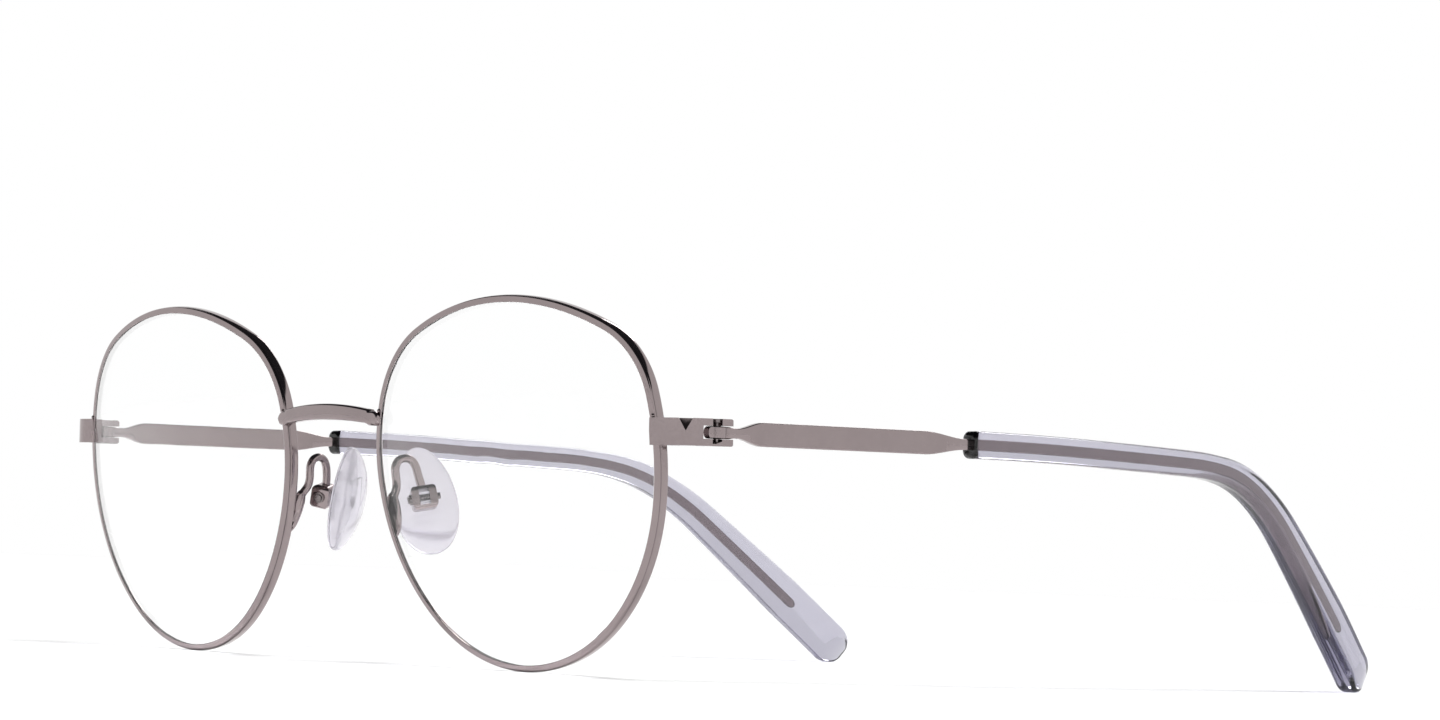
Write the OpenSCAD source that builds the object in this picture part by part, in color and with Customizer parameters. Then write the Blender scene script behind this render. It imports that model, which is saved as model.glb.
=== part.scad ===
// Full-rim metal spectacles: open, standing on the rims and the temple tips.
// +X is the wearer's left, the front faces -Y, and the temples run back along +Y.
// Everything is drawn for the +X side, and the other side is its mirror image.
// The origin is on the table, in the middle of the open frame's footprint.

/* [Lenses and rims] */
// Width of a lens at its widest
lens_w = 48; // [47:0.5:49]
// Distance between the two lenses
lens_gap = 19; // [18.5:0.5:19.5]
// Radial thickness of the eyewire
wire_t = 0.8; // [0.7:0.05:0.9]
// Depth of the eyewire from front to back
wire_d = 1.4; // [1.3:0.1:1.6]
// Depth of the groove that holds the lens
groove_depth = 0.4; // [0.3:0.05:0.45]
// Radius of the lens's front curve, which the eyewire follows
base_r = 107.5; // [100:0.5:120]
// Thickness of a lens
lens_t = 1.3; // [1.1:0.1:1.3]
// Lean of the rims, top forward
rim_tilt = 8.3; // [7.8:0.1:8.8]
// Wrap of the rims, outer edges back
rim_wrap = 3.8; // [3.5:0.1:4.1]

/* [Bridge] */
// Height of the bridge bar at its middle
bridge_h = 1.95; // [1.6:0.05:2.2]
// Depth of the bridge bar from front to back
bridge_d = 1.3; // [1:0.1:1.5]

/* [End pieces and hinges] */
// Height of the end piece
end_h = 3.1; // [3:0.1:3.4]
// Thickness of the end piece's strip
end_t = 1.2; // [1:0.05:1.3]
// Outer radius of the end piece's bend
end_bend = 4.4; // [4.2:0.1:4.6]
// Height of the slot for the temple's tongue
slot_h = 1.5; // [1.4:0.05:1.6]
// Radius of the hinge screw
hinge_r = 0.45; // [0.4:0.05:0.5]
// Running clearance of the tongue on its screw
hinge_fit = 0.05; // [0.02:0.01:0.08]

/* [Temples] */
// Length of a temple along its curve
temple_len = 135; // [130:1:140]
// Height of the flat blade
blade_h = 2.75; // [2.4:0.05:3]
// Thickness of the flat blade
blade_t = 0.95; // [0.8:0.05:1]
// Height of the tip's sleeve along its straight stretch
sleeve_h = 3.3; // [3:0.1:3.6]
// Thickness of the tip's sleeve
sleeve_w = 2.9; // [2.6:0.1:3.1]
// Height of the tip near its rounded end
tip_h = 5.8; // [5.2:0.1:6.2]
// Thickness of the tip near its rounded end
tip_w = 3.3; // [2.9:0.1:3.5]

/* [Nose pads] */
// Length of a nose pad
pad_len = 13.3; // [12:0.1:14]
// Width of a nose pad
pad_w = 7.7; // [6.8:0.1:7.8]
// Thickness of a nose pad at its middle
pad_t = 2.4; // [2:0.1:2.6]
// Diameter of the pad arm's wire
arm_d = 1; // [0.8:0.05:1.1]

/* [Hidden] */
gunmetal = [0.56, 0.52, 0.52];
dark_steel = [0.42, 0.39, 0.4];
clear_lens = [0.9, 0.94, 0.96, 0.3];
smoke_tip = [0.62, 0.64, 0.72, 0.6];
silicone = [0.93, 0.94, 0.96, 0.6];

sides = ["left", "right"];
pieces = ["rim", "lens", "upper_block", "end_piece", "closing_screw", "hinge_screw", "temple",
  "temple_tip", "pad_arm", "pad_box", "pad_screw", "pad_core", "nose_pad"];

// Half of the open frame's length, which puts the origin at the middle of its footprint.
footprint_y = 67;
// Lean of the whole frame that brings the temple tips down onto the table.
stand_lean = 0.79;
lens_x = (lens_w + lens_gap) / 2;
// Height of the lens's middle: the rims stand on the table.
lens_z = 21.5;
// How much farther out the eyewire's outer edge is than the lens's edge.
edge_over_lens = wire_t - groove_depth;

// --- Rim outline: eight arcs that meet without a corner -----------------------------------
// Directions, from the outer side upwards, at which one arc hands over to the next.
turns = [-10, 15, 65, 115, 165, 190, 230, 310, 350];
// Radii of the first six arcs. The last two are the ones that close the outline.
chosen_radii = [29.2, 12.3, 38.7, 14, 22.3, 27.3];
// Centre of the first arc, from the middle of the lens.
first_centre = [-4.9, 2.9];
outline_step = 3;

function direction(a) = [cos(a), sin(a)];
function cross_2d(a, b) = a[0] * b[1] - a[1] * b[0];
function total(list, i = 0) = i == len(list) ? [0, 0] : list[i] + total(list, i + 1);
function swing(i) = direction(turns[i + 1]) - direction(turns[i]);
open_gap = total([for (i = [0:5]) chosen_radii[i] * swing(i)]);
closing_radii = [cross_2d(swing(7), open_gap), cross_2d(open_gap, swing(6))] / cross_2d(swing(6), swing(7));
rim_radii = concat(chosen_radii, closing_radii);
function arc_centre(i) =
  i == 0 ? first_centre : arc_centre(i - 1) + (rim_radii[i - 1] - rim_radii[i]) * direction(turns[i]);
// Outline drawn for a lens 48 wide, and grown or shrunk evenly for any other width.
lens_growth = (lens_w - 48) / 2 + edge_over_lens - 0.4;
function outline(inset) = [
  for (i = [0:7])
    let (steps = round((turns[i + 1] - turns[i]) / outline_step), span = (turns[i + 1] - turns[i]) / steps)
      for (k = [0:steps - 1])
        arc_centre(i) + (rim_radii[i] + lens_growth - inset) * direction(turns[i] + (k + 0.5) * span)
];

// --- Placing ------------------------------------------------------------------------------
module standing() {
  translate([0, -footprint_y, 0]) rotate([-stand_lean, 0, 0]) children();
}
module on_side(side) {
  standing() mirror([side == "left" ? 0 : 1, 0, 0]) children();
}
module in_rim_frame() {
  translate([lens_x, 0, lens_z]) rotate([rim_tilt, 0, 0]) rotate([0, 0, rim_wrap]) children();
}

// --- Curved layers of the rim and lens ----------------------------------------------------
dish_reach = 30;
module dish(front, back) {
  translate([0, base_r, 0]) rotate([90, 0, 0]) rotate_extrude($fn = 96) intersection() {
    difference() {
      circle(r = base_r - front, $fn = 180);
      circle(r = base_r - back, $fn = 180);
    }
    translate([0, base_r - 15]) square([dish_reach, 20]);
  }
}
// The rim's outline, less an inset, cut from the dish between two depths.
module layer(inset, front, back) {
  intersection() {
    translate([0, 8, 0]) rotate([90, 0, 0]) linear_extrude(12) polygon(outline(inset));
    dish(front, back);
  }
}
// The space that one whole rim fills, for pieces that are brazed onto it.
module rim_space() in_rim_frame() layer(0, 0, wire_d);

groove_w = 0.6;
groove_front = (wire_d - groove_w) / 2;
bevel_play = 0.03;
split_gap = 0.2;
module rim() {
  color(gunmetal) difference() {
    in_rim_frame() difference() {
      layer(0, 0, wire_d);
      layer(wire_t, -0.1, wire_d + 0.1);
      layer(wire_t - groove_depth, groove_front, groove_front + groove_w);
    }
    // The eyewire is cut through at the closing block, so that the lens can be put in.
    translate([hinge[0] - 6, 0, hinge[2] - split_gap / 2]) cube([4, 10, split_gap]);
  }
}

module lens() {
  middle = wire_d / 2;
  color(clear_lens) in_rim_frame() union() {
    layer(wire_t + bevel_play, middle - lens_t / 2, middle + lens_t / 2);
    layer(wire_t - groove_depth + bevel_play, groove_front + bevel_play, groove_front + groove_w - bevel_play);
  }
}

// --- Bridge -------------------------------------------------------------------------------
bridge_z = 30.2;
bridge_end_x = 9.2;
bridge_end_z = 29.4;
bridge_end_r = 0.87;
bridge_top_r = 53;
bridge_under_r = 77;
bridge_front_y = -1.05;
bridge_bow_r = 83;
module bridge() {
  top_z = bridge_z + bridge_h / 2;
  under_z = bridge_z - bridge_h / 2;
  color(gunmetal) standing() difference() {
    intersection() {
      // Arched as seen from the front, with round ends.
      translate([0, 5, 0]) rotate([90, 0, 0]) linear_extrude(10) difference() {
        intersection() {
          translate([0, top_z - bridge_top_r]) circle(r = bridge_top_r, $fn = 96);
          union() {
            translate([-bridge_end_x, bridge_end_z - 3]) square([2 * bridge_end_x, 6]);
            for (x = [-bridge_end_x, bridge_end_x])
              translate([x, bridge_end_z]) circle(r = bridge_end_r, $fn = 48);
          }
        }
        translate([0, under_z - bridge_under_r]) circle(r = bridge_under_r, $fn = 96);
      }
      // Bowed forward as seen from above.
      translate([0, 0, bridge_z - 5]) linear_extrude(10) difference() {
        translate([0, bridge_front_y + bridge_bow_r]) circle(r = bridge_bow_r, $fn = 180);
        translate([0, bridge_front_y + bridge_bow_r]) circle(r = bridge_bow_r - bridge_d, $fn = 180);
        translate([-50, 20]) square([100, 200]);
      }
    }
    for (flip = [0, 1]) mirror([flip, 0, 0]) rim_space();
  }
}

// --- End piece, closing block and hinge ---------------------------------------------------
// Middle of the hinge screw, and how much the hinge leans: the end piece rises to the back.
hinge = [61.44, 8.95, 28.3];
hinge_lean = 2;
end_side_x = 1.15;
bend_centre = [end_side_x - end_bend, -1.55];
front_reach = 1.6;
knuckle_from = [-1.1, -2.4];
knuckle_to = [end_side_x, 1.7];
knuckle_round = 0.45;
// The V cut stands on the seam between the two halves of the closing block.
v_angle = 46;
v_half_w = 0.85;
seam_z = 0.1;
lug_from = [-3.95, -5.2];
lug_size = [4.6, 2.3];
knuckle_end_round = 0.6;
closing_at = [-2.7, -4];
closing_r = 0.45;
closing_head_r = 0.75;
screw_head_h = 0.4;
closing_len = end_h - 0.8;
window_from = [-0.35, -1.62];
window_to_y = -0.2;
hinge_head_r = 0.75;
slot_front_y = -2.85;

module in_hinge_frame() {
  translate(hinge) rotate([hinge_lean, 0, 0]) children();
}
module rounded_square(from, to, r) {
  translate([from[0] + r, from[1]]) square([to[0] - from[0] - 2 * r, to[1] - from[1]]);
  translate([from[0], from[1] + r]) square([to[0] - from[0], to[1] - from[1] - 2 * r]);
  for (x = [from[0] + r, to[0] - r], y = [from[1] + r, to[1] - r]) translate([x, y]) circle(r = r, $fn = 32);
}
// The strip as seen from above: from the rim's front, round the bend, to the knuckles.
module end_plan() {
  intersection() {
    difference() {
      translate(bend_centre) circle(r = end_bend, $fn = 96);
      translate(bend_centre) circle(r = end_bend - end_t, $fn = 96);
    }
    translate([bend_centre[0], bend_centre[1] - end_bend]) square(end_bend);
  }
  translate([bend_centre[0] - front_reach, bend_centre[1] - end_bend]) square([front_reach + 0.1, end_t]);
  rounded_square(knuckle_from, knuckle_to, knuckle_round);
}
// The block behind the strip, which fills the bend's inner corner.
module lug_plan() {
  intersection() {
    translate(lug_from) square(lug_size);
    translate(bend_centre) circle(r = end_bend - end_t / 2, $fn = 96);
  }
}
module block_bulk() {
  intersection() {
    translate([0, 0, -end_h / 2]) linear_extrude(end_h) {
      end_plan();
      lug_plan();
    }
    // Rounds the ends of the knuckles as seen from the side.
    translate([-10, 0, 0]) rotate([90, 0, 90]) linear_extrude(20)
      rounded_square([-9, -end_h / 2], [knuckle_to[1], end_h / 2], knuckle_end_round);
  }
}
// What the front strip keeps clear of: the whole rim, and the opening ahead of the lens.
module strip_clearance() {
  rim_space();
  in_rim_frame() layer(wire_t, -3, 0.1);
}
// The space of the closing block's upper half: above the seam and ahead of the V cut.
module upper_space() {
  intersection() {
    union() {
      translate(concat(bend_centre, [0])) rotate([0, 0, v_angle - 90]) translate([-5, -20, 0]) cube([30, 20, 5]);
      linear_extrude(5) lug_plan();
    }
    translate([-10, -10, seam_z]) cube([20, 20, 5]);
  }
}
module v_cut() {
  translate(concat(bend_centre, [0])) rotate([0, 0, v_angle - 90]) translate([end_bend - end_t - 0.2, 0, 0])
    rotate([90, 0, 90]) linear_extrude(5)
      polygon([[0, seam_z], [v_half_w, end_h / 2 + 0.1], [-v_half_w, end_h / 2 + 0.1]]);
}
module at_closing_screw() translate([closing_at[0], closing_at[1], -end_h / 2]) children();

module upper_block() {
  color(gunmetal) difference() {
    in_hinge_frame() difference() {
      intersection() {
        block_bulk();
        upper_space();
      }
      v_cut();
      at_closing_screw() cylinder(r = closing_r, h = closing_len, $fn = 32);
    }
    strip_clearance();
  }
}
module end_piece() {
  color(gunmetal) difference() {
    in_hinge_frame() difference() {
      block_bulk();
      upper_space();
      v_cut();
      // Slot for the tongue, and the windows that show the screw above and below it.
      translate([-3, slot_front_y, -slot_h / 2]) cube([6, 7, slot_h]);
      translate(concat(window_from, [0])) cube([3, window_to_y - window_from[1], end_h]);
      translate([window_from[0], 0, 0]) rotate([90, 0, 90]) linear_extrude(3)
        polygon([[window_from[1], 0], [window_to_y, 0], [window_to_y, -1], [window_from[1] + 0.5, -1.3],
                 [window_from[1], -1.3]]);
      translate([0, 0, -end_h]) cylinder(r = hinge_r, h = 2 * end_h, $fn = 32);
      translate([0, 0, end_h / 2 - screw_head_h]) cylinder(r = hinge_head_r, h = 1, $fn = 32);
      at_closing_screw() cylinder(r = closing_r + 0.05, h = end_h, $fn = 32);
      at_closing_screw() cylinder(r = closing_head_r, h = screw_head_h, $fn = 32);
    }
    strip_clearance();
  }
}
// A screw that hangs from its head, with a cut across the head.
module screw(r, head_r, length) {
  difference() {
    union() {
      translate([0, 0, -length]) cylinder(r = r, h = length, $fn = 32);
      translate([0, 0, -screw_head_h]) cylinder(r = head_r, h = screw_head_h, $fn = 32);
    }
    translate([-1, -0.1, -screw_head_h / 2]) cube([2, 0.2, 1]);
  }
}
module hinge_screw() {
  color(dark_steel) in_hinge_frame() translate([0, 0, end_h / 2]) screw(hinge_r, hinge_head_r, end_h);
}
module closing_screw() {
  color(dark_steel) in_hinge_frame() at_closing_screw() mirror([0, 0, 1])
    screw(closing_r, closing_head_r, closing_len);
}

// --- Temple: path, blade, core wire and tip -----------------------------------------------
// Degrees down and degrees inward, by distance along the temple from the hinge.
pitch_at = [[0, 0.4], [38, 0.4], [46, 1.2], [58, 2.2], [78, 2.2], [85, 7.5], [95, 26.5], [104, 38.8], [115, 39.5],
            [135, 41]];
yaw_at = [[0, -2.2], [36, -2.2], [60, 1.5], [90, 12.5], [110, 14.5], [135, 17]];
path_step = 1.5;
blade_x = -0.32;
tongue_front = -1.7;
tongue_h = slot_h - 0.1;
tongue_round = 0.35;
neck_h = 1.15;
knuckle_r = 1.05;
core_from = 37.5;
core_to = temple_len - 11;
core_h = 1.3;
core_w = 0.8;
core_play = 0.03;
sleeve_from = 38.3;
sleeve_round = 1.2;
blade_end = sleeve_from - 0.2;
grow_from = 84;
grow_to = 122;

function heading(s) =
  let (pitch = lookup(s, pitch_at), yaw = lookup(s, yaw_at))
    [-sin(yaw) * cos(pitch), cos(yaw) * cos(pitch), -sin(pitch)];
temple_path = [
  for (i = 0, p = [blade_x + blade_t / 2, 0, 0]; i * path_step <= temple_len + 2 * path_step;
       p = p + path_step * heading((i + 0.5) * path_step), i = i + 1) p
];
function path_point(s) =
  let (i = floor(s / path_step), t = s / path_step - i) (1 - t) * temple_path[i] + t * temple_path[i + 1];

// A ring of points about a place on a path: half_a along side, half_b along its normal.
function oval(at, along, side, half_a, half_b, sides, power) =
  let (a_axis = side / norm(side), b_axis = cross(a_axis, along))
    [for (k = [0:sides - 1])
      let (c = cos((k + 0.5) * 360 / sides), s = sin((k + 0.5) * 360 / sides))
        at + a_axis * half_a * sign(c) * pow(abs(c), power) + b_axis * half_b * sign(s) * pow(abs(s), power)];
function temple_ring(s, half_w, half_h, sides, power) =
  oval(path_point(s), heading(s), cross(heading(s), [0, 0, 1]), half_w, half_h, sides, power);
module tube(rings) {
  sides = len(rings[0]);
  last = (len(rings) - 1) * sides;
  polyhedron(
    points = [for (r = rings, p = r) p],
    faces = concat(
      [[for (k = [sides - 1:-1:0]) k]],
      [[for (k = [0:sides - 1]) last + k]],
      [for (i = [0:sides:last - sides], k = [0:sides - 1])
        let (a = i + k, b = i + (k + 1) % sides) [a, b, b + sides, a + sides]]),
    convexity = 6);
}
module core(play, from, to) {
  count = ceil((to - from) / 3);
  tube([for (i = [0:count])
    temple_ring(from + i * (to - from) / count, core_w / 2 + play, core_h / 2 + play, 8, 0.6)]);
}
// The side view of the tongue, neck and blade, with +X running back.
module blade_profile() {
  rounded_square([tongue_front, -tongue_h / 2], [2.2, tongue_h / 2], tongue_round);
  for (flip = [0, 1]) mirror([0, flip])
    polygon([[1, 0], [1, neck_h / 2], [2.8, neck_h / 2], [3.7, 0.76], [4.9, 1.17], [6.2, blade_h / 2],
             [31.5, blade_h / 2], [34, 1], [core_from, core_h / 2], [blade_end, core_h / 2], [blade_end, 0]]);
}
module temple() {
  color(gunmetal) in_hinge_frame() {
    difference() {
      union() {
        rotate([-pitch_at[0][1], 0, yaw_at[0][1]]) translate([blade_x, 0, 0]) rotate([90, 0, 90])
          linear_extrude(blade_t) blade_profile();
        translate([0, 0, -tongue_h / 2]) cylinder(r = knuckle_r, h = tongue_h, $fn = 48);
      }
      translate([0, 0, -5]) cylinder(r = hinge_r + hinge_fit, h = 10, $fn = 32);
    }
    core(0, core_from, core_to);
  }
}
// The tip's share of its growth from the sleeve's size to its full size.
function grown(s) = min(1, max(0, (s - grow_from) / (grow_to - grow_from)));
function tip_ring(s, pull, share_w, share_h) =
  temple_ring(s, (sleeve_w + (tip_w - sleeve_w) * grown(s)) / 2 * share_w - pull,
              (sleeve_h + (tip_h - sleeve_h) * grown(s)) / 2 * share_h - pull, 16, 0.75);
module temple_tip() {
  end_round = tip_h / 2;
  last_ring = temple_len - end_round;
  color(smoke_tip) in_hinge_frame() difference() {
    tube(concat(
      [for (a = [0:30:60]) tip_ring(sleeve_from + sleeve_round * (1 - cos(a)), 0.5 * (1 - sin(a)), 1, 1)],
      [for (i = [0:30])
        tip_ring(sleeve_from + sleeve_round + i * (last_ring - sleeve_from - sleeve_round) / 30, 0, 1, 1)],
      [for (a = [18:18:84]) tip_ring(last_ring + end_round * sin(a), 0, pow(cos(a), 0.6), pow(cos(a), 0.8))]));
    core(core_play, sleeve_from - 1, core_to + 0.5);
  }
}

// --- Nose pads ----------------------------------------------------------------------------
// A pad's frame: +X away from the nose, +Y along the pad's width, +Z up along its length.
pad_at = [8.1, 9.65, 19.9];
pad_turn = [12.5, -10.3, -33];
pad_pivot = [3.2, -0.35, -0.1];
pad_back_x = 1;
pad_crown_r = 14;
box_size = [2.3, 3, 2.9];
box_round = 0.6;
box_window = [1.24, 1.9];
pad_screw_r = 0.4;
pad_screw_out = 0.45;
pad_head_r = 0.65;
pad_head_h = 0.25;
tab_size = [1.1, 1.24];
tab_end_x = 4;
plate_from_x = -0.1;
plate_size = [0.6, 3.2, 5.2];
// The pad arm's wire, from its foot on the rim, over the loop, to the pad box.
arm_points = [[10.9, 3.5, 17.6], [10.35, 3.55, 19.2], [9.9, 3.8, 20.3], [9.55, 4.3, 21.3], [9.35, 4.4, 22.2],
              [9.22, 4.3, 23.1], [9.16, 4.3, 23.9], [9.18, 4.7, 24.65], [9.32, 5.6, 24.97],
              [9.45, 6.45, 24.7], [9.57, 6.95, 24], [9.7, 7.2, 23.2], [9.9, 7.4, 22.4], [10.2, 7.6, 21.4]];
foot_from = [9.9, 3.6, 20.2];
foot_to = [11.15, 3.35, 16.6];
foot_tip = [11.5, 3.2, 15.5];

module in_pad_frame() translate(pad_at) rotate(pad_turn) children();
// Smooth point at t between points i and i + 1 of a list.
function smooth_point(list, i, t) =
  let (n = len(list) - 1, a = list[max(i - 1, 0)], b = list[i], c = list[i + 1], d = list[min(i + 2, n)])
    0.5 * (2 * b + (c - a) * t + (2 * a - 5 * b + 4 * c - d) * t * t + (3 * b - a - 3 * c + d) * t * t * t);
module wire(list, r, steps, sides) {
  line = [for (i = [0:len(list) - 2], k = [0:steps - 1]) smooth_point(list, i, k / steps)];
  n = len(line) - 1;
  tube([for (i = [0:n])
    let (gap = line[min(i + 1, n)] - line[max(i - 1, 0)], along = gap / norm(gap))
      oval(line[i], along, [1, 0, 0] - along * along[0], r, r, sides, 1)]);
}
module pad_box_block() {
  half = box_size / 2;
  translate(pad_pivot) intersection() {
    rotate([90, 0, 90]) translate([0, 0, -half[0]]) linear_extrude(box_size[0])
      rounded_square([-half[1], -half[2]], [half[1], half[2]], box_round);
    rotate([90, 0, 0]) translate([0, 0, -half[1]]) linear_extrude(box_size[1])
      rounded_square([-half[0], -half[2]], [half[0], half[2]], box_round);
  }
}
module pad_arm() {
  color(gunmetal) difference() {
    union() {
      wire(arm_points, arm_d / 2, 4, 10);
      hull() {
        translate(foot_from) sphere(r = arm_d / 2, $fn = 20);
        translate(foot_to) sphere(r = 0.6, $fn = 20);
      }
      hull() {
        translate(foot_to) sphere(r = 0.6, $fn = 20);
        translate(foot_tip) sphere(r = 0.25, $fn = 16);
      }
    }
    rim_space();
    in_pad_frame() pad_box_block();
  }
}
module along_pad_screw() translate(pad_pivot) rotate([90, 0, 0]) children();
module pad_box() {
  color(gunmetal) in_pad_frame() difference() {
    pad_box_block();
    translate(pad_pivot - [5, box_window[0] / 2, box_window[1] / 2]) cube([10, box_window[0], box_window[1]]);
    along_pad_screw() cylinder(r = pad_screw_r, h = 10, center = true, $fn = 32);
  }
}
module pad_screw() {
  half = box_size[1] / 2;
  color(dark_steel) in_pad_frame() along_pad_screw() {
    cylinder(r = pad_screw_r, h = 2 * (half + pad_screw_out), center = true, $fn = 32);
    translate([0, 0, half]) cylinder(r = pad_head_r, h = pad_head_h, $fn = 32);
  }
}
module plate_space() {
  translate([plate_from_x, -plate_size[1] / 2, -plate_size[2] / 2]) cube(plate_size);
}
module tab_space(to_x) {
  translate([0, pad_pivot[1] - tab_size[0] / 2, pad_pivot[2] - tab_size[1] / 2])
    cube([to_x, tab_size[0], tab_size[1]]);
}
module pad_core() {
  color(clear_lens) in_pad_frame() difference() {
    union() {
      plate_space();
      tab_space(tab_end_x);
    }
    along_pad_screw() cylinder(r = pad_screw_r + hinge_fit, h = 5, center = true, $fn = 32);
  }
}
module nose_pad() {
  outline = [for (a = [0:10:350]) [pad_w / 2 * cos(a) * (1 - 0.1 * sin(a)), pad_len / 2 * sin(a)]];
  color(silicone) in_pad_frame() difference() {
    intersection() {
      rotate([90, 0, 90]) translate([0, 0, pad_back_x - pad_t]) linear_extrude(pad_t) polygon(outline);
      translate([pad_back_x - pad_t + pad_crown_r, 0, 0]) sphere(r = pad_crown_r, $fn = 96);
    }
    plate_space();
    tab_space(2);
  }
}

// --- Nodes --------------------------------------------------------------------------------
module piece(name) {
  if (name == "rim") rim();
  if (name == "lens") lens();
  if (name == "upper_block") upper_block();
  if (name == "end_piece") end_piece();
  if (name == "closing_screw") closing_screw();
  if (name == "hinge_screw") hinge_screw();
  if (name == "temple") temple();
  if (name == "temple_tip") temple_tip();
  if (name == "pad_arm") pad_arm();
  if (name == "pad_box") pad_box();
  if (name == "pad_screw") pad_screw();
  if (name == "pad_core") pad_core();
  if (name == "nose_pad") nose_pad();
}

bridge();
for (side = sides, name = pieces)
  on_side(side) piece(name);
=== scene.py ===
"""Full-rim metal spectacles, open, standing on the rims and the temple tips.

Lengths are millimetres and the pieces are drawn as in the CAD model: in the front's own frame,
for the wearer's left side, before the front leans back to stand on the table. The right side is
the mirror image. piece() turns them into metres in the shared frame.
"""

import math

import bpy
from mathutils import Matrix, Vector


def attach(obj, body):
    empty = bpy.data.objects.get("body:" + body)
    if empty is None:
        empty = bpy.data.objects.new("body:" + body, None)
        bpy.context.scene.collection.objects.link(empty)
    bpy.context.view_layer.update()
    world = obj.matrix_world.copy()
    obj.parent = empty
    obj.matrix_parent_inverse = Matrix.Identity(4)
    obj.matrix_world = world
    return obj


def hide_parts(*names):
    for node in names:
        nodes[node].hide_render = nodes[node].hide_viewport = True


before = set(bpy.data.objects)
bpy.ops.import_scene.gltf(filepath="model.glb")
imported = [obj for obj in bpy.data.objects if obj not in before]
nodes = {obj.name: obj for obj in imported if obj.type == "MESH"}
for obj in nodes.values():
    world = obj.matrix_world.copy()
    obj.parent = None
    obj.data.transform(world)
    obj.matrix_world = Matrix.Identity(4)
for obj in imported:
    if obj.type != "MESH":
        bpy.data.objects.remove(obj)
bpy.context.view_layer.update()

# --- Dimensions, in millimetres and degrees, as in the CAD model ------------------------------
SIDES = {"left": 1, "right": -1}

LENS_W = 48
LENS_GAP = 19
WIRE_T = 0.8
WIRE_D = 1.4
GROOVE_DEPTH = 0.4
GROOVE_W = 0.6
BASE_R = 107.5
LENS_T = 1.3
LENS_Z = 21.5
RIM_TILT = 8.3
RIM_WRAP = 3.8
SPLIT_GAP = 0.2
BEAD_R = 0.24
BEAD_INSET = 0.3
END_BEAD_Z = 29.95
BRIDGE_BEAD_Z = 30.4

BRIDGE_H = 1.95
BRIDGE_D = 1.3
BRIDGE_Z = 30.2
BRIDGE_END_X = 9.2
BRIDGE_END_Z = 29.4
BRIDGE_END_R = 0.87
BRIDGE_TOP_R = 53
BRIDGE_UNDER_R = 77
BRIDGE_FRONT_Y = -1.05
BRIDGE_BOW_R = 83

HINGE = (61.44, 8.95, 28.3)
HINGE_LEAN = 2
BLADE_X = -0.32
BLADE_T = 0.95
BLADE_H = 2.75
TONGUE_FRONT = -1.7
TONGUE_H = 1.4
KNUCKLE_R = 1.05
NECK_H = 1.15
CORE_H = 1.3
CORE_W = 0.8
CORE_FROM = 37.5
SLEEVE_FROM = 38.3
SLEEVE_H = 3.3
SLEEVE_W = 2.9
TIP_H = 5.8
TIP_W = 3.3
GROW_FROM = 84
GROW_TO = 122
TEMPLE_LEN = 135
CORE_TO = TEMPLE_LEN - 11

PAD_AT = (8.1, 9.65, 19.9)
PAD_TURN = (12.5, -10.3, -33)
PAD_LEN = 13.3
PAD_W = 7.7
PAD_T = 2.4
PAD_BACK_X = 1
PAD_CROWN_R = 14
ARM_D = 1

FOOTPRINT_Y = 67
STAND_LEAN = 0.79


# --- Frames -----------------------------------------------------------------------------------
def turned(angles):
    """Rotation about X, then Y, then Z, in degrees."""
    x, y, z = (math.radians(a) for a in angles)
    return Matrix.Rotation(z, 4, "Z") @ Matrix.Rotation(y, 4, "Y") @ Matrix.Rotation(x, 4, "X")


STANDING = Matrix.Translation((0, -FOOTPRINT_Y, 0)) @ turned((-STAND_LEAN, 0, 0))
RIM_FRAME = (
    Matrix.Translation(((LENS_W + LENS_GAP) / 2, 0, LENS_Z))
    @ turned((RIM_TILT, 0, 0))
    @ turned((0, 0, RIM_WRAP))
)
HINGE_FRAME = Matrix.Translation(HINGE) @ turned((HINGE_LEAN, 0, 0))
PAD_FRAME = Matrix.Translation(PAD_AT) @ turned(PAD_TURN)
FRONT_FRAME = Matrix.Identity(4)


# --- Mesh tools -------------------------------------------------------------------------------
def loft(rings, closed=False, caps=True):
    """(vertices, faces) of a skin over rings of equal length. Closed joins the last to the first."""
    sides = len(rings[0])
    count = len(rings)
    vertices = [p for ring in rings for p in ring]
    faces = []
    for i in range(count if closed else count - 1):
        a, b = i * sides, (i + 1) % count * sides
        for k in range(sides):
            n = (k + 1) % sides
            faces.append((a + k, a + n, b + n, b + k))
    if caps and not closed:
        faces.append(tuple(reversed(range(sides))))
        faces.append(tuple(range((count - 1) * sides, count * sides)))
    return vertices, faces


def joined(*skins):
    """Several (vertices, faces) as one."""
    vertices, faces = [], []
    for v, f in skins:
        start = len(vertices)
        vertices += v
        faces += [tuple(start + k for k in face) for face in f]
    return vertices, faces


def rounded_rectangle(half_a, half_b, radius, steps=5):
    """Points round a rectangle with quarter-circle corners, centred on 0."""
    r = min(radius, 0.999 * half_a, 0.999 * half_b)
    corners = [(half_a - r, half_b - r, 0), (r - half_a, half_b - r, 90), (r - half_a, r - half_b, 180),
               (half_a - r, r - half_b, 270)]
    points = []
    for a, b, start in corners:
        for k in range(steps + 1):
            turn = math.radians(start + 90 * k / steps)
            points.append((a + r * math.cos(turn), b + r * math.sin(turn)))
    return points


def smooth_step(x, low, high):
    """0 below low, 1 above high, and an even S between them."""
    t = min(1, max(0, (x - low) / (high - low)))
    return t * t * (3 - 2 * t)


def between(x, pairs):
    """Value at x of a broken line through (x, value) pairs."""
    for (a, va), (b, vb) in zip(pairs, pairs[1:]):
        if x <= b:
            return va + (vb - va) * max(0, (x - a) / (b - a))
    return pairs[-1][1]


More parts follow.
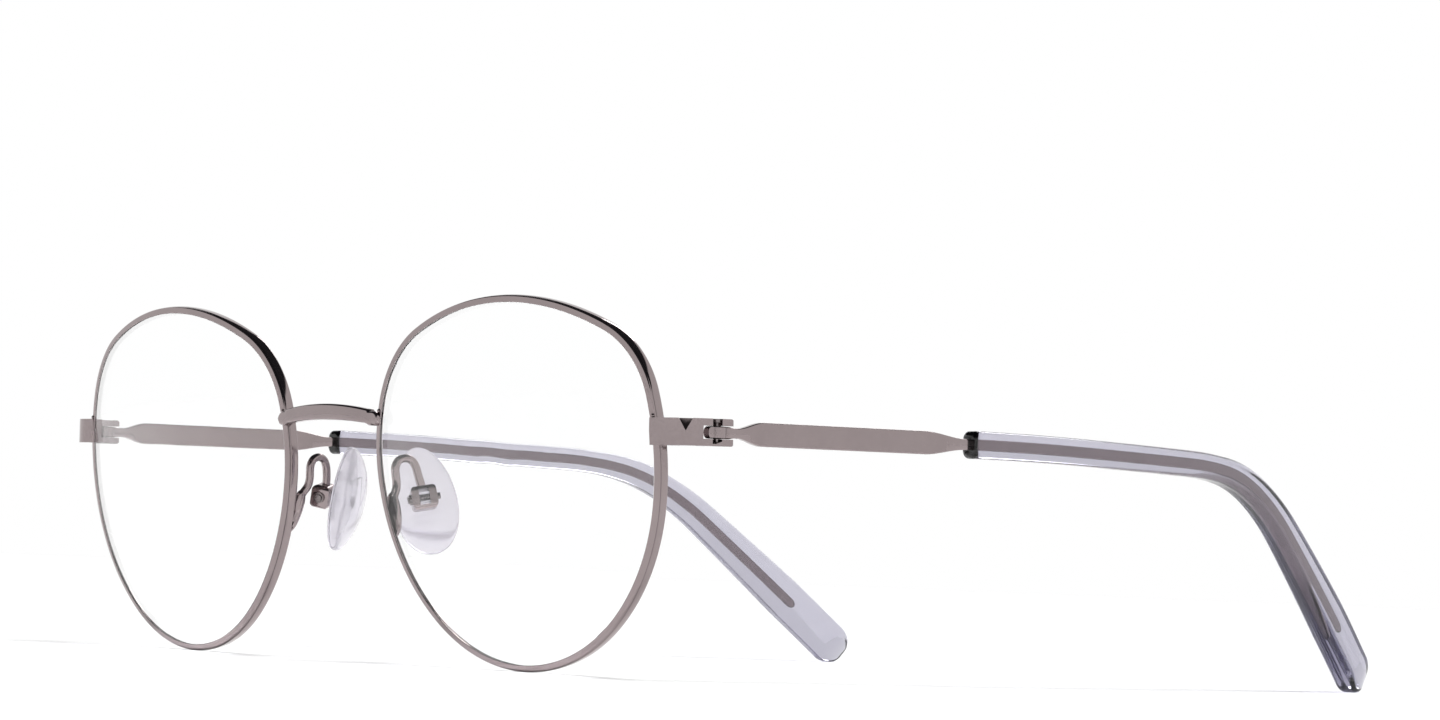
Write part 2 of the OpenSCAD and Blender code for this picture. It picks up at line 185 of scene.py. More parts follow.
def piece(name, side, body, skin, local, material, stands_for, sharp=40, even=True):
    """A mesh piece of one side, placed in the shared frame on its body."""
    sign = SIDES[side]
    place = Matrix.Scale(0.001, 4) @ STANDING @ Matrix.Diagonal((sign, 1, 1, 1)) @ local
    vertices, faces = skin
    mesh = bpy.data.meshes.new(name)
    mesh.from_pydata([place @ Vector(v) for v in vertices], [], [f if sign > 0 else f[::-1] for f in faces])
    mesh.materials.append(material)
    mesh.shade_smooth()
    mesh.set_sharp_from_angle(angle=math.radians(sharp))
    obj = bpy.data.objects.new(name, mesh)
    bpy.context.scene.collection.objects.link(obj)
    if even:
        obj.modifiers.new("even_faces", "WEIGHTED_NORMAL").keep_sharp = True
    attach(obj, body)
    for node in stands_for:
        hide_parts(node)
    return obj


# --- Materials --------------------------------------------------------------------------------
class Shading:
    """A material's node tree, with short names for what the materials here share."""

    def __init__(self, name):
        self.material = bpy.data.materials.new(name)
        self.material.use_nodes = True
        self.tree = self.material.node_tree
        self.tree.nodes.clear()
        self.output = self.node("ShaderNodeOutputMaterial")
        self.surface = self.node("ShaderNodeBsdfPrincipled")
        self.link(self.surface, "BSDF", self.output, "Surface")
        self.place = self.node("ShaderNodeTexCoord")

    def node(self, kind, **values):
        made = self.tree.nodes.new(kind)
        for key, value in values.items():
            made.inputs[key.replace("_", " ")].default_value = value
        return made

    def link(self, source, output, target, socket):
        self.tree.links.new(source.outputs[output], target.inputs[socket])

    def set(self, **values):
        for key, value in values.items():
            self.surface.inputs[key.replace("_", " ")].default_value = value

    def noise(self, scale, detail=3, stretch=None):
        """Noise in the object's own coordinates. Stretch scales them first, for streaks."""
        noise = self.node("ShaderNodeTexNoise", Scale=scale, Detail=detail)
        if stretch is None:
            self.link(self.place, "Object", noise, "Vector")
        else:
            mapping = self.node("ShaderNodeMapping", Scale=stretch)
            self.link(self.place, "Object", mapping, "Vector")
            self.link(mapping, "Vector", noise, "Vector")
        return noise

    def spread(self, source, low, high, socket):
        """Sends a 0 to 1 noise to a shader socket as a range around its value."""
        change = self.node("ShaderNodeMapRange", From_Min=0.3, From_Max=0.7, To_Min=low, To_Max=high)
        self.link(source, "Fac", change, "Value")
        self.link(change, "Result", self.surface, socket)

    def tint(self, source, low, high):
        """Varies the base colour between two colours by a noise."""
        ramp = self.node("ShaderNodeValToRGB")
        ramp.color_ramp.elements[0].position = 0.3
        ramp.color_ramp.elements[0].color = (*low, 1)
        ramp.color_ramp.elements[1].position = 0.7
        ramp.color_ramp.elements[1].color = (*high, 1)
        self.link(source, "Fac", ramp, "Fac")
        self.link(ramp, "Color", self.surface, "Base Color")

    def paint_crease_shade(self, reach_mm, low, share_from=0.3, share_to=0.85):
        """Painted shade: the base colour darkened by ambient occlusion in seams, slots and corners narrower
        than the reach.
        """
        color = self.surface.inputs["Base Color"].links[0].from_socket
        open_air = self.node("ShaderNodeAmbientOcclusion", Distance=reach_mm / 1000)
        open_air.samples = 8
        open_air.only_local = True
        share = self.node("ShaderNodeMapRange", From_Min=share_from, From_Max=share_to, To_Min=low, To_Max=1)
        mix = self.node("ShaderNodeMix")
        mix.data_type = "RGBA"
        mix.blend_type = "MULTIPLY"
        mix.inputs["Factor"].default_value = 1
        self.link(open_air, "AO", share, "Value")
        self.tree.links.new(color, mix.inputs[6])
        self.tree.links.new(share.outputs["Result"], mix.inputs[7])
        self.tree.links.new(mix.outputs[2], self.surface.inputs["Base Color"])

    def bump(self, source, height_mm, strength=1):
        bump = self.node("ShaderNodeBump", Strength=strength, Distance=height_mm / 1000)
        self.link(source, "Fac", bump, "Height")
        self.link(bump, "Normal", self.surface, "Normal")

    def lets_lamps_through(self):
        """Shadows are only tinted, as clear plastic's are."""
        path = self.node("ShaderNodeLightPath")
        clear = self.node("ShaderNodeBsdfTransparent")
        clear.inputs["Color"].default_value = (0.9, 0.9, 0.92, 1)
        mix = self.node("ShaderNodeMixShader")
        self.link(path, "Is Shadow Ray", mix, "Fac")
        self.tree.links.new(self.surface.outputs["BSDF"], mix.inputs[1])
        self.tree.links.new(clear.outputs["BSDF"], mix.inputs[2])
        self.link(mix, "Shader", self.output, "Surface")


def plated_metal():
    """Polished gunmetal plating: warm grey, with the faint waviness and hairlines of a buffed wire."""
    m = Shading("gunmetal_plating")
    m.set(Metallic=1.0)
    m.tint(m.noise(180, 4), (0.290, 0.242, 0.244), (0.320, 0.268, 0.270))
    # painted shade: base colour darkened in seams, slots and corners
    m.paint_crease_shade(1.4, 0.03, 0.5, 0.95)
    m.spread(m.noise(900, 5), 0.05, 0.13, "Roughness")
    m.bump(m.noise(600, 3, stretch=(1, 0.25, 1)), 0.0008)
    return m.material


def screw_steel():
    """Bare turned steel of the screw ends, a little darker and rougher than the plating."""
    m = Shading("screw_steel")
    m.set(Metallic=1.0)
    m.tint(m.noise(700, 3), (0.16, 0.14, 0.14), (0.25, 0.22, 0.22))
    # painted shade: base colour darkened in recesses and crevices
    m.paint_crease_shade(0.6, 0.1)
    m.spread(m.noise(2500, 4), 0.15, 0.35, "Roughness")
    m.bump(m.noise(3000, 3), 0.002)
    return m.material


def clear_lens():
    """Polished clear demo lens. Its coating takes nearly all of the reflection away."""
    m = Shading("clear_lens")
    m.set(Transmission_Weight=1.0, IOR=1.45, Specular_Tint=(0.4, 0.4, 0.4, 1))
    m.tint(m.noise(60, 2), (0.996, 0.998, 0.998), (0.998, 0.999, 0.999))
    m.spread(m.noise(60, 2), 0.0, 0.006, "Roughness")
    m.lets_lamps_through()
    return m.material


def smoke_plastic():
    """Clear acetate of the temple tips, smoke grey with a blue cast."""
    m = Shading("smoke_plastic")
    m.set(Transmission_Weight=1.0, IOR=1.49)
    m.tint(m.noise(90, 3, stretch=(1, 0.3, 1)), (0.93, 0.93, 0.95), (0.98, 0.98, 0.99))
    smoke = m.node("ShaderNodeVolumeAbsorption", Color=(0.40, 0.38, 0.51, 1), Density=310)
    m.link(smoke, "Volume", m.output, "Volume")
    m.spread(m.noise(400, 3), 0.015, 0.04, "Roughness")
    m.bump(m.noise(150, 2), 0.001)
    m.lets_lamps_through()
    return m.material


def pad_silicone():
    """Clear silicone with a soft satin face."""
    m = Shading("pad_silicone")
    m.set(Transmission_Weight=0.7, IOR=1.41)
    m.tint(m.noise(300, 3), (0.80, 0.775, 0.835), (0.86, 0.84, 0.89))
    # painted shade: base colour darkened in creases and corners
    m.paint_crease_shade(0.35, 0.5)
    m.spread(m.noise(900, 3), 0.06, 0.12, "Roughness")
    m.bump(m.noise(1200, 2), 0.004)
    m.lets_lamps_through()
    return m.material


def core_plastic():
    """Hard clear plastic inside the pads."""
    m = Shading("core_plastic")
    m.set(Transmission_Weight=1.0, IOR=1.5)
    m.tint(m.noise(500, 2), (0.92, 0.92, 0.94), (0.97, 0.97, 0.98))
    m.spread(m.noise(900, 3), 0.03, 0.08, "Roughness")
    m.lets_lamps_through()
    return m.material


METAL = plated_metal()
STEEL = screw_steel()
LENS = clear_lens()
SMOKE = smoke_plastic()
SILICONE = pad_silicone()
CORE = core_plastic()

# --- Rim outline: eight arcs that meet without a corner, and the dish they are cut from -------
TURNS = [-10, 15, 65, 115, 165, 190, 230, 310, 350]
CHOSEN_RADII = [29.2, 12.3, 38.7, 14, 22.3, 27.3]
FIRST_CENTRE = Vector((-4.9, 2.9))


def direction(angle):
    return Vector((math.cos(math.radians(angle)), math.sin(math.radians(angle))))


def closed_outline():
    """Radii and centres of the eight arcs. The last two radii are the ones that close the outline."""
    swings = [direction(TURNS[i + 1]) - direction(TURNS[i]) for i in range(8)]
    gap = sum((r * s for r, s in zip(CHOSEN_RADII, swings)), Vector((0, 0)))
    across = swings[6].cross(swings[7])
    radii = CHOSEN_RADII + [swings[7].cross(gap) / across, gap.cross(swings[6]) / across]
    centres = [FIRST_CENTRE]
    for i in range(1, 8):
        centres.append(centres[-1] + (radii[i - 1] - radii[i]) * direction(TURNS[i]))
    return radii, centres


RADII, CENTRES = closed_outline()


def outline(angle, inset=0.0):
    """The point of the rim's outline whose outward direction is angle, moved in by inset."""
    angle = (angle + 10) % 360 - 10
    i = max(k for k in range(8) if TURNS[k] <= angle)
    return CENTRES[i] + (RADII[i] - inset) * direction(angle)


def dish(x, z, depth):
    """How far behind the lens's middle the dish lies at x, z, at a depth behind its front face."""
    return BASE_R - math.sqrt((BASE_R - depth) ** 2 - x * x - z * z)


def on_dish(angle, inset, depth):
    x, z = outline(angle, inset)
    return (x, dish(x, z, depth), z)


INTO_RIM_FRAME = RIM_FRAME.inverted()


def within_outline(x, z):
    """True inside the rim's outer edge, for a point in the rim's frame."""
    return all(
        (Vector((x, z)) - outline(a)).dot(direction(a)) < 0 for a in range(0, 360, 5)
    )


def held_to_rim(point, front=True):
    """A point of a brazed piece, kept from going through the rim to the lens's other side."""
    p = INTO_RIM_FRAME @ Vector(point)
    if not within_outline(p.x, p.z):
        return Vector(point)
    if front:
        p.y = min(p.y, dish(p.x, p.z, 0) + 0.04)
    else:
        p.y = max(p.y, dish(p.x, p.z, WIRE_D) - 0.04)
    return RIM_FRAME @ p


# --- Rims and lenses --------------------------------------------------------------------------
def wire_profile():
    """The eyewire's section as (inset, depth): the lens's groove inside, a fine line round the front edge."""
    corner_steps = 5
    middle = WIRE_D / 2
    crown = [(-0.03, middle * 1.4), (-0.045, middle), (-0.03, middle * 0.6), (-0.01, 0.3)]
    line = [(0.1, 0.21), (0.1, 0.15)]
    groove = [(WIRE_T, middle + GROOVE_W / 2), (WIRE_T - GROOVE_DEPTH, middle + GROOVE_W / 2),
              (WIRE_T - GROOVE_DEPTH, middle - GROOVE_W / 2), (WIRE_T, middle - GROOVE_W / 2)]
    # Inset, depth, radius and first angle of each corner. None stands for the groove.
    corners = [
        (0, 0, 0.14, 180),
        (WIRE_T, 0, 0.1, 270),
        None,
        (WIRE_T, WIRE_D, 0.14, 0),
        (0, WIRE_D, 0.22, 90),
    ]
    points = []
    for corner in corners:
        if corner is None:
            points += groove[::-1]
            continue
        u, v, r, start = corner
        cu = u + (r if u == 0 else -r)
        cv = v + (r if v == 0 else -r)
        for k in range(corner_steps + 1):
            turn = math.radians(start + 90 * k / corner_steps)
            points.append((cu + r * math.cos(turn), cv + r * math.sin(turn)))
    return points + crown + line


# Stretches of the outline, from low to high, as the angles at their ends.
OUTER_SIDE = (0, 60)
NOSE_SIDE = (200, 110)


def angle_at_height(z, low, high):
    """Where the outline, rising from one angle to another, passes a height in the front's frame."""
    for _ in range(30):
        middle = (low + high) / 2
        if (RIM_FRAME @ Vector(on_dish(middle, WIRE_T / 2, WIRE_D / 2))).z < z:
            low = middle
        else:
            high = middle
    return low


def bead_skin(angle):
    """A drop of brazing metal on the rim's front, near its outer edge."""
    x, y, z = on_dish(angle, BEAD_INSET, 0)
    turns = [math.radians(20 * k) for k in range(18)]
    rings = []
    for k in range(11):
        a = math.radians(max(3, min(177, 18 * k)))
        r = BEAD_R * math.sin(a)
        rings.append([(x + r * math.cos(t), y - BEAD_R * math.cos(a), z + r * math.sin(t)) for t in turns])
    return loft(rings)


def rim_skin():
    section = wire_profile()
    start = angle_at_height(HINGE[2] + SPLIT_GAP / 2, *OUTER_SIDE)
    end = angle_at_height(HINGE[2] - SPLIT_GAP / 2, *OUTER_SIDE) + 360
    count = 220
    rings = [
        [on_dish(start + (end - start) * i / count, u, v) for u, v in section]
        for i in range(count + 1)
    ]
    vertices, faces = loft(rings)
    end_bead = bead_skin(angle_at_height(END_BEAD_Z, *OUTER_SIDE))
    bridge_bead = bead_skin(angle_at_height(BRIDGE_BEAD_Z, *NOSE_SIDE))
    return joined((vertices, [f[::-1] for f in faces]), end_bead, bridge_bead)


def lens_skin():
    """Front and back faces on the dish, with the bevel that sits in the groove between them."""
    edge = WIRE_T + 0.02
    bevel = WIRE_T - GROOVE_DEPTH + 0.03
    land = 0.38
    front, back = (WIRE_D - LENS_T) / 2, (WIRE_D + LENS_T) / 2
    angles = [3 * k for k in range(120)]

    def ring(share, inset, depth):
        made = []
        for a in angles:
            x, z = outline(a, inset) * share
            made.append((x, dish(x, z, depth), z))
        return made

    shares = [0.02, 0.2, 0.4, 0.6, 0.8, 0.92, 0.98, 1.0]
    rings = [ring(s, edge, front) for s in shares]
    rings += [ring(1, bevel, front + land), ring(1, bevel, back - land)]
    rings += [ring(s, edge, back) for s in reversed(shares)]
    vertices, faces = loft(rings, caps=True)
    return vertices, [f[::-1] for f in faces]


# --- Bridge -----------------------------------------------------------------------------------
def bridge_skin():
    """An arched bar, bowed forward, with round ends on the rims' fronts and a fillet at each rim."""
    top_z, under_z = BRIDGE_Z + BRIDGE_H / 2, BRIDGE_Z - BRIDGE_H / 2
    reach = BRIDGE_END_X + BRIDGE_END_R
    fillet_from, fillet_to, fillet = 7.4, 9.0, 0.5
    tip_gap = 0.004
    rings = []
    count = 120
    for i in range(count + 1):
        if i in (0, count):
            x = (reach - tip_gap) * (1 if i else -1)
        else:
            x = -reach * math.cos(math.pi * i / count)
        high = top_z - BRIDGE_TOP_R + math.sqrt(BRIDGE_TOP_R**2 - x * x)
        low = under_z - BRIDGE_UNDER_R + math.sqrt(BRIDGE_UNDER_R**2 - x * x)
        low -= fillet * max(0, (abs(x) - fillet_from) / (fillet_to - fillet_from)) ** 3 * (abs(x) < fillet_to)
        if abs(x) > BRIDGE_END_X - BRIDGE_END_R:
            rise = math.sqrt(max(0, BRIDGE_END_R**2 - max(0, abs(x) - BRIDGE_END_X) ** 2))
            high = min(high, BRIDGE_END_Z + rise)
            low = max(low, BRIDGE_END_Z - rise)
        front = BRIDGE_FRONT_Y + BRIDGE_BOW_R - math.sqrt(BRIDGE_BOW_R**2 - x * x)
        ring = []
        for dy, dz in rounded_rectangle(BRIDGE_D / 2, (high - low) / 2, 0.3):
            point = (abs(x), front + BRIDGE_D / 2 + dy, (high + low) / 2 + dz)
            held = held_to_rim(point)
            ring.append((math.copysign(held[0], x), held[1], held[2]))
        rings.append(ring)
    return loft(rings)


# --- Temples and tips -------------------------------------------------------------------------
# The temple's slope down and its turn inwards, in degrees, at distances from the hinge.
PITCH_AT = [(0, 0.4), (38, 0.4), (46, 1.2), (58, 2.2), (78, 2.2), (85, 7.5), (95, 26.5), (104, 38.8),
            (115, 39.5), (135, 41)]
YAW_AT = [(0, -2.2), (36, -2.2), (60, 1.5), (90, 12.5), (110, 14.5), (135, 17)]
PATH_STEP = 1.5


def heading(s):
    """Unit direction of the temple's path at distance s from the hinge."""
    pitch, yaw = math.radians(between(s, PITCH_AT)), math.radians(between(s, YAW_AT))
    return Vector((-math.sin(yaw) * math.cos(pitch), math.cos(yaw) * math.cos(pitch), -math.sin(pitch)))


PATH = [Vector((BLADE_X + BLADE_T / 2, 0, 0))]
while (len(PATH) - 1) * PATH_STEP <= TEMPLE_LEN + 2 * PATH_STEP:
    PATH.append(PATH[-1] + PATH_STEP * heading((len(PATH) - 0.5) * PATH_STEP))


def path_point(s):
    """A smooth curve through the path's points."""
    if s < 0:
        return PATH[0] + s * heading(0)
    i = min(int(s / PATH_STEP), len(PATH) - 2)
    t = s / PATH_STEP - i
    return PATH[i].lerp(PATH[i + 1], t)


def smooth_heading(s):
    return sum((heading(s + d) for d in (-2, -1, 0, 1, 2)), Vector()).normalized()


def temple_ring(s, section):
    """A section, as (outward, upward) points, set square across the temple's path."""
    along = smooth_heading(s)
    out = along.cross(Vector((0, 0, 1))).normalized()
    up = out.cross(along)
    centre = (path_point(s - 0.6) + path_point(s) + path_point(s + 0.6)) / 3
    return [centre + out * a + up * b for a, b in section]


def blade_half_height(s):
    front = s - TONGUE_FRONT
    nose = 0.4
    if front < nose:
        return TONGUE_H / 2 - nose + math.sqrt(max(0, nose**2 - (nose - front) ** 2)) + 0.001
    tongue_to_neck = smooth_step(s, 1.2, 2.2)
    neck_to_blade = smooth_step(s, 2.6, 6.4)
    blade_to_core = smooth_step(s, 31.0, CORE_FROM)
    half = TONGUE_H / 2 + (NECK_H - TONGUE_H) / 2 * tongue_to_neck
    half += (BLADE_H - NECK_H) / 2 * neck_to_blade
    return half + (CORE_H - BLADE_H) / 2 * blade_to_core


def temple_skin():
    """Tongue, neck, blade and core as one bar, and the knuckle that the hinge screw goes through."""
    stations = [TONGUE_FRONT + 0.001 + 0.4 * (1 - math.cos(math.pi / 2 * k / 6)) for k in range(7)]
    stations += [TONGUE_FRONT + 0.6 + 0.3 * k for k in range(132)]
    stations += [38.5 + 0.9 * k for k in range(94)]
    stations += [CORE_TO - 0.9, CORE_TO - 0.6, CORE_TO - 0.3, CORE_TO - 0.1, CORE_TO]
    rings = []
    for s in stations:
        half_w = BLADE_T / 2 + (CORE_W - BLADE_T) / 2 * smooth_step(s, 33, 38)
        end = math.sqrt(max(0.0004, 1 - max(0, (s - CORE_TO + 1) / 1) ** 2))
        rings.append(temple_ring(s, rounded_rectangle(half_w, blade_half_height(s) * end, 0.16)))
    vertices, faces = loft(rings)
    bar = vertices, [f[::-1] for f in faces]
    knuckle = loft(
        [[(r * math.cos(math.radians(a)), r * math.sin(math.radians(a)), z) for a in range(0, 360, 10)]
         for r, z in [(KNUCKLE_R - 0.1, -TONGUE_H / 2), (KNUCKLE_R, 0.1 - TONGUE_H / 2),
                      (KNUCKLE_R, TONGUE_H / 2 - 0.1), (KNUCKLE_R - 0.1, TONGUE_H / 2)]])
    return joined(bar, knuckle)


def tip_ring(s, pull=0.0, share_w=1.0, share_h=1.0):
    """The tip's section: flat sides and well rounded edges."""
    grown = min(1, max(0, (s - GROW_FROM) / (GROW_TO - GROW_FROM)))
    half_w = (SLEEVE_W + (TIP_W - SLEEVE_W) * grown) / 2 * share_w - pull
    half_h = (SLEEVE_H + (TIP_H - SLEEVE_H) * grown) / 2 * share_h - pull
    return temple_ring(s, rounded_rectangle(half_w, half_h, 0.62 * half_w, steps=10))


def tip_skin():
    """The sleeve over the core wire, growing into the tip, with a round mouth and a round end."""
    mouth = 0.7
    end_round = TIP_H / 2
    last = TEMPLE_LEN - end_round
    rings = []
    for k in range(9):
        a = math.pi / 2 * k / 8
        rings.append(tip_ring(SLEEVE_FROM + mouth * (1 - math.cos(a)), 0.75 * (1 - math.sin(a))))
    for k in range(1, 161):
        rings.append(tip_ring(SLEEVE_FROM + mouth + (last - SLEEVE_FROM - mouth) * k / 160))
    for k in range(1, 21):
        a = math.radians(min(89, 90 * k / 20))
        rings.append(tip_ring(last + end_round * math.sin(a), 0, math.cos(a) ** 0.7, math.cos(a) ** 0.85))
    vertices, faces = loft(rings)
    return vertices, [f[::-1] for f in faces]


# --- Pad arms and nose pads -------------------------------------------------------------------
ARM_POINTS = [(10.9, 3.5, 17.6), (10.35, 3.55, 19.2), (9.9, 3.8, 20.3), (9.55, 4.3, 21.3),
              (9.35, 4.4, 22.2), (9.22, 4.3, 23.1), (9.16, 4.3, 23.9), (9.18, 4.7, 24.65),
              (9.32, 5.6, 24.97), (9.45, 6.45, 24.7), (9.57, 6.95, 24), (9.7, 7.2, 23.2),
              (9.9, 7.4, 22.4), (10.2, 7.6, 21.4)]
# Points along the foot, with the foot's radius at each.
FOOT = [((9.75, 3.62, 20.7), 0.3), ((9.85, 3.6, 20.3), 0.55), ((10.2, 3.55, 19.3), 0.76),
        ((10.7, 3.45, 18.0), 0.82), ((11.15, 3.35, 16.7), 0.7), ((11.4, 3.25, 15.9), 0.45),
        ((11.55, 3.2, 15.3), 0.1)]


def smooth_line(points, steps):
    """Points along a smooth curve through a list of points."""
    made = []
    last = len(points) - 1
    for i in range(last):
        a, b, c, d = (Vector(points[k]) for k in (max(i - 1, 0), i, i + 1, min(i + 2, last)))
        for k in range(steps):
            t = k / steps
            square = (2 * a - 5 * b + 4 * c - d) * t * t
            cube = (3 * b - a - 3 * c + d) * t**3
            made.append(0.5 * (2 * b + (c - a) * t + square + cube))
    made.append(Vector(points[-1]))
    return made


def wire_skin(line, radii, sides=20):
    """A round wire along a line of points, with a radius at each."""
    rings = []
    last = len(line) - 1
    for i, point in enumerate(line):
        along = (line[min(i + 1, last)] - line[max(i - 1, 0)]).normalized()
        a_axis = (Vector((1, 0, 0)) - along * along.x).normalized()
        b_axis = along.cross(a_axis)
        turns = [2 * math.pi * k / sides for k in range(sides)]
        rings.append([point + radii[i] * (a_axis * math.cos(t) + b_axis * math.sin(t)) for t in turns])
    return loft(rings)


def pad_arm_skin():
    """The gooseneck wire, and the leaf-shaped foot that is brazed along the rim."""
    line = smooth_line(ARM_POINTS, 8)
    wire = wire_skin(line, [ARM_D / 2] * len(line))
    foot_line = smooth_line([p for p, _ in FOOT], 6)
    foot_radii = [r.x for r in smooth_line([(r, 0, 0) for _, r in FOOT], 6)]
    foot = wire_skin(foot_line, foot_radii)
    vertices, faces = joined(wire, foot)
    return [held_to_rim(v, front=False) for v in vertices], faces


def nose_pad_skin():
    """An egg-shaped pad with a crowned face towards the nose and a softly rounded edge."""
    front_x = PAD_BACK_X - PAD_T

    def edge(a, inset):
        c, s = math.cos(math.radians(a)), math.sin(math.radians(a))
        return ((PAD_W / 2 - inset) * c * (1 - 0.1 * s), (PAD_LEN / 2 - inset) * s)

    def crown(y, z):
        return front_x + PAD_CROWN_R - math.sqrt(PAD_CROWN_R**2 - y * y - z * z)

    def shrunk(inset, share):
        return [(share * y, share * z) for y, z in (edge(a, inset) for a in angles)]

    angles = [5 * k for k in range(72)]
    rings = []
    soft, back_soft = 0.3, 0.2
    for share in (0.03, 0.25, 0.5, 0.7, 0.85, 0.95):
        rings.append([(crown(y, z), y, z) for y, z in shrunk(soft, share)])
    for k in range(7):
        turn = math.pi / 2 * k / 6
        inset = soft * (1 - math.sin(turn))
        rings.append([(min(PAD_BACK_X - 0.5, crown(y, z) + soft * (1 - math.cos(turn))), y, z)
                      for y, z in (edge(a, inset) for a in angles)])
    for back, inset in ((0.42, 0), (0.38, 0.1), (0.32, 0.1), (0.28, 0)):
        rings.append([(PAD_BACK_X - back, y, z) for y, z in (edge(a, inset) for a in angles)])
    for k in range(5):
        turn = math.pi / 2 * k / 4
        x = PAD_BACK_X - back_soft * (1 - math.sin(turn))
        inset = back_soft * (1 - math.cos(turn))
        rings.append([(x, y, z) for y, z in (edge(a, inset) for a in angles)])
    for share in (0.9, 0.6, 0.3, 0.03):
        rings.append([(PAD_BACK_X, y, z) for y, z in shrunk(back_soft, share)])
    return loft(rings)


# --- Assembly ---------------------------------------------------------------------------------
FINE_EDGE = 0.05
BOX_EDGE = 0.1


def soft_edges(name, material, width):
    """A CAD node that stays, with its edges broken and its own material."""
    obj = nodes[name]
    flat = obj.modifiers.new("merge_flats", "DECIMATE")
    flat.decimate_type = "DISSOLVE"
    flat.angle_limit = math.radians(1)
    bevel = obj.modifiers.new("broken_edges", "BEVEL")
    bevel.width = width / 1000
    bevel.segments = 3
    bevel.limit_method = "ANGLE"
    bevel.angle_limit = math.radians(35)
    bevel.use_clamp_overlap = True
    bevel.harden_normals = True
    obj.data.materials.clear()
    obj.data.materials.append(material)


piece("bridge_bar", "left", "front", bridge_skin(), FRONT_FRAME, METAL, ["bridge"])
rim, lens, temple, tip, arm, pad = (
    rim_skin(), lens_skin(), temple_skin(), tip_skin(), pad_arm_skin(), nose_pad_skin())
for side in SIDES:
    temple_body, pad_body = f"{side}_temple", f"{side}_nose_pad"
    piece(f"{side}_eyewire", side, "front", rim, RIM_FRAME, METAL, [f"{side}_rim"])
    piece(f"{side}_demo_lens", side, "front", lens, RIM_FRAME, LENS, [f"{side}_lens"], sharp=20,
          even=False)
    piece(f"{side}_temple_bar", side, temple_body, temple, HINGE_FRAME, METAL, [f"{side}_temple"])
    piece(f"{side}_tip", side, temple_body, tip, HINGE_FRAME, SMOKE, [f"{side}_temple_tip"],
          even=False)
    piece(f"{side}_gooseneck", side, "front", arm, FRONT_FRAME, METAL, [f"{side}_pad_arm"],
          even=False)
    piece(f"{side}_pad", side, pad_body, pad, PAD_FRAME, SILICONE, [f"{side}_nose_pad"],
          even=False)
    soft_edges(f"{side}_end_piece", METAL, FINE_EDGE)
    soft_edges(f"{side}_upper_block", METAL, FINE_EDGE)
    soft_edges(f"{side}_pad_box", METAL, BOX_EDGE)
    soft_edges(f"{side}_closing_screw", STEEL, FINE_EDGE)
    soft_edges(f"{side}_hinge_screw", STEEL, FINE_EDGE)
    soft_edges(f"{side}_pad_screw", STEEL, FINE_EDGE)
    soft_edges(f"{side}_pad_core", CORE, FINE_EDGE)


# --- Stage: pale floor, soft light, camera ----------------------------------------------------
def plain_material(name, color, roughness):
    m = Shading(name)
    m.set(Base_Color=(*color, 1), Roughness=roughness)
    return m.material


def make_floor():
    size = 12.0
    corners = [(-size, -size, 0), (size, -size, 0), (size, size, 0), (-size, size, 0)]
    mesh = bpy.data.meshes.new("floor")
    mesh.from_pydata(corners, [], [(0, 1, 2, 3)])
    mesh.materials.append(plain_material("floor_paper", (0.8, 0.8, 0.8), 0.9))
    floor = bpy.data.objects.new("floor", mesh)
    bpy.context.scene.collection.objects.link(floor)


def aimed(light, position, target):
    obj = bpy.data.objects.new(light.name, light)
    obj.location = position
    obj.rotation_euler = (Vector(target) - Vector(position)).to_track_quat("-Z", "Y").to_euler()
    bpy.context.scene.collection.objects.link(obj)
    return obj


KEY_FROM = (0.2, 0.15, 1)
STRIP_AT = (-0.52, 0.95, 1.0)


def make_lights():
    """A soft key from overhead, for the shadows, and a bright strip that the polished edges mirror."""
    key = bpy.data.lights.new("key", "SUN")
    key.energy = 2.8
    key.angle = math.radians(18)
    aimed(key, KEY_FROM, (0, 0, 0)).visible_glossy = False
    strip = bpy.data.lights.new("strip", "AREA")
    strip.shape = "RECTANGLE"
    strip.size, strip.size_y = 0.5, 0.22
    strip.energy = 2.4
    aimed(strip, STRIP_AT, (0, 0, 0.03))


MATT_LIGHT = 0.5
BACK_WALL_RISE = 0.3


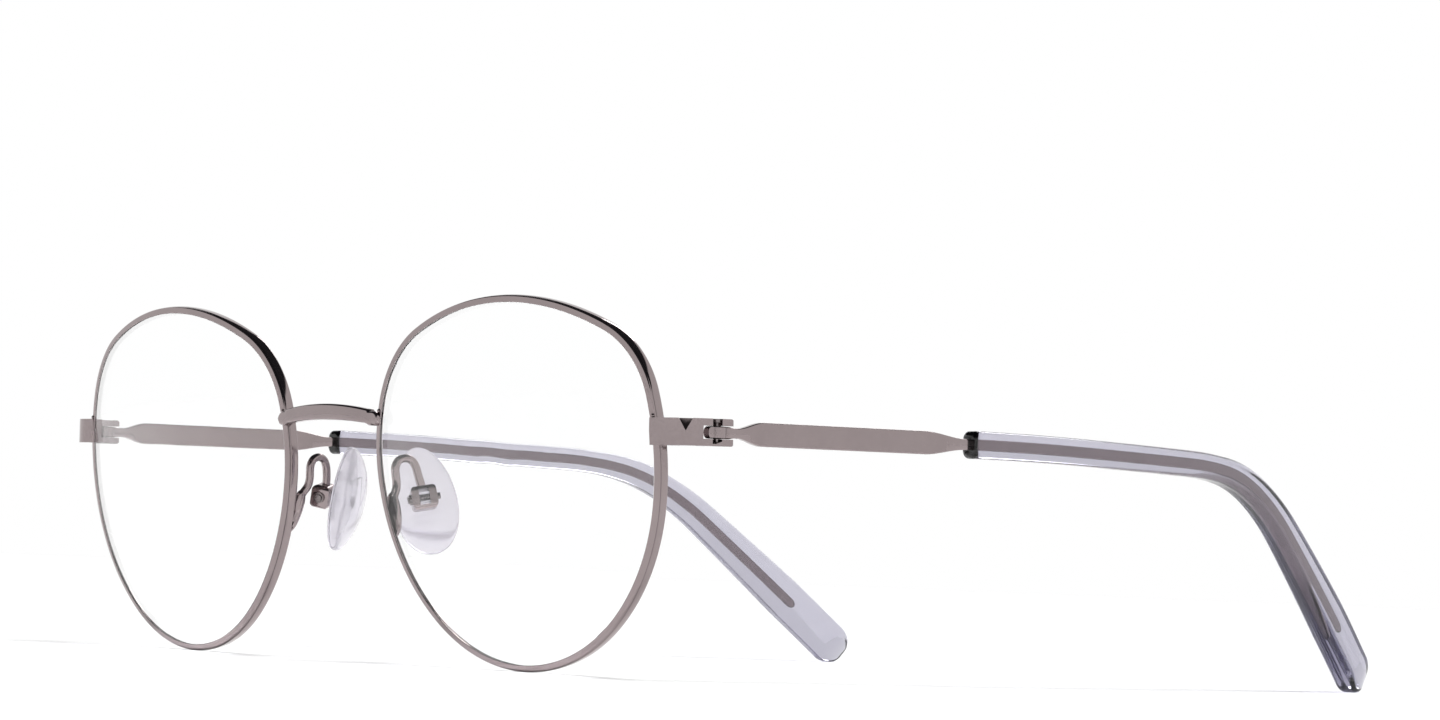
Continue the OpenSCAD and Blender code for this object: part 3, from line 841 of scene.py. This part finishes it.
def make_world():
    """White walls all round, higher behind the object, under a dark ceiling.

    The ceiling shows only in gloss and through clear plastic. Matt surfaces get a weaker, even light,
    so that the key's shadows show.
    """
    world = bpy.data.worlds.new("studio")
    world.use_nodes = True
    tree = world.node_tree
    tree.nodes.clear()
    place = tree.nodes.new("ShaderNodeTexCoord")
    split = tree.nodes.new("ShaderNodeSeparateXYZ")
    back_is_lower = tree.nodes.new("ShaderNodeMath")
    ramp = tree.nodes.new("ShaderNodeValToRGB")
    path = tree.nodes.new("ShaderNodeLightPath")
    seen = tree.nodes.new("ShaderNodeMath")
    strength = tree.nodes.new("ShaderNodeMath")
    mix = tree.nodes.new("ShaderNodeMix")
    sky = tree.nodes.new("ShaderNodeBackground")
    output = tree.nodes.new("ShaderNodeOutputWorld")
    mix.data_type = "RGBA"
    seen.operation = "MAXIMUM"
    strength.operation = "MULTIPLY_ADD"
    strength.inputs[1].default_value = MATT_LIGHT - 1
    strength.inputs[2].default_value = 1.0
    back_is_lower.operation = "MULTIPLY_ADD"
    back_is_lower.inputs[1].default_value = -BACK_WALL_RISE
    ramp.color_ramp.elements[0].position = 0.49
    ramp.color_ramp.elements[0].color = (1, 1, 1, 1)
    ramp.color_ramp.elements[1].position = 0.54
    ramp.color_ramp.elements[1].color = (0.03, 0.03, 0.035, 1)
    tree.links.new(place.outputs["Generated"], split.inputs[0])
    tree.links.new(split.outputs["Y"], back_is_lower.inputs[0])
    tree.links.new(split.outputs["Z"], back_is_lower.inputs[2])
    tree.links.new(back_is_lower.outputs[0], ramp.inputs["Fac"])
    tree.links.new(path.outputs["Is Glossy Ray"], seen.inputs[0])
    tree.links.new(path.outputs["Is Transmission Ray"], seen.inputs[1])
    tree.links.new(seen.outputs[0], mix.inputs["Factor"])
    mix.inputs[6].default_value = (1, 1, 1, 1)
    tree.links.new(ramp.outputs["Color"], mix.inputs[7])
    tree.links.new(mix.outputs[2], sky.inputs["Color"])
    tree.links.new(path.outputs["Is Diffuse Ray"], strength.inputs[0])
    tree.links.new(strength.outputs[0], sky.inputs["Strength"])
    tree.links.new(sky.outputs[0], output.inputs["Surface"])
    bpy.context.scene.world = world


CAMERA_AT = (432.76, -384.76, 7.34)
CAMERA_FORWARD = (-0.74955, 0.65932, 0.05890)
CAMERA_UP = (0.01142, -0.07609, 0.99704)
CAMERA_LENS = 109.78


def make_camera():
    """The view from low in front, on the wearer's left."""
    lean = turned((-STAND_LEAN, 0, 0)).to_3x3()
    forward = (lean @ Vector(CAMERA_FORWARD)).normalized()
    right = forward.cross(lean @ Vector(CAMERA_UP)).normalized()
    up = right.cross(forward)
    at = STANDING @ Vector((CAMERA_AT[0], CAMERA_AT[1] + FOOTPRINT_Y, CAMERA_AT[2]))
    data = bpy.data.cameras.new("camera")
    data.lens = CAMERA_LENS
    data.sensor_width = 36
    data.clip_start = 0.01
    camera = bpy.data.objects.new("camera", data)
    turn = Matrix((right, up, -forward)).transposed().to_4x4()
    camera.matrix_world = Matrix.Translation(at / 1000) @ turn
    bpy.context.scene.collection.objects.link(camera)
    bpy.context.scene.camera = camera


make_floor()
make_world()
make_camera()
make_lights()
bpy.context.scene.view_settings.view_transform = "Standard"
